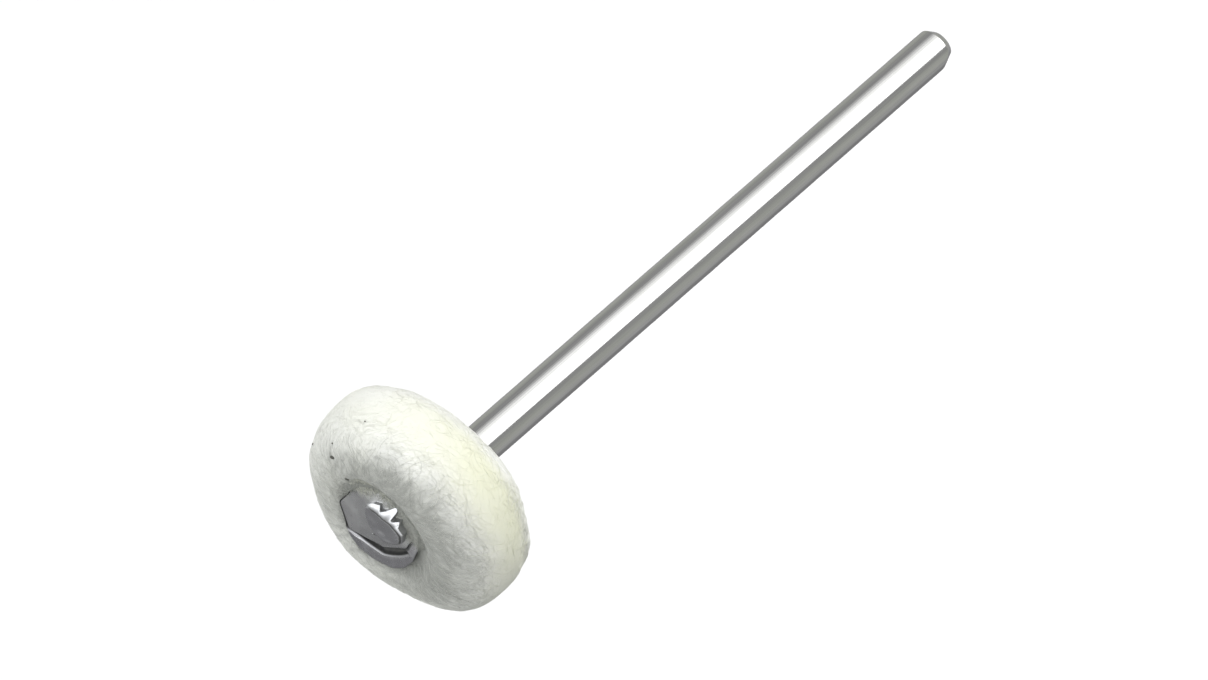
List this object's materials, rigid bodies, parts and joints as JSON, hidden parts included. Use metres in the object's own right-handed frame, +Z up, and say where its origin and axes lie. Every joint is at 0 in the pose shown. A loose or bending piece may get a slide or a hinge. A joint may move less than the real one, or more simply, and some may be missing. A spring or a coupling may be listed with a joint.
{
  "type": "mounted felt polishing wheel",
  "caption": "Pressed wool felt polishing wheel riveted between washers on a plain steel shank for a rotary handpiece.",
  "frame": {"origin": "on the spin axis, in the plane of the shank's shoulder, where the full-diameter shank starts and the rear washer bears", "axes": "+Y along the spin axis from the wheel towards the tip of the shank, -Y out of the riveted face, +Z up"},
  "size_m": [0.0137, 0.0456, 0.0136],
  "materials": {
    "polished_steel": "polished, with fine turning lines",
    "washer_steel": "plain pressed steel, dull",
    "wool_felt": "pressed wool felt, matte, loose fibres"
  },
  "bodies": {
    "root": {"mandrel": "polished_steel", "rear_washer": "washer_steel", "felt_wheel": "wool_felt", "cup_washer": "washer_steel", "rivet_plate": "washer_steel"}
  },
  "joints": []
}
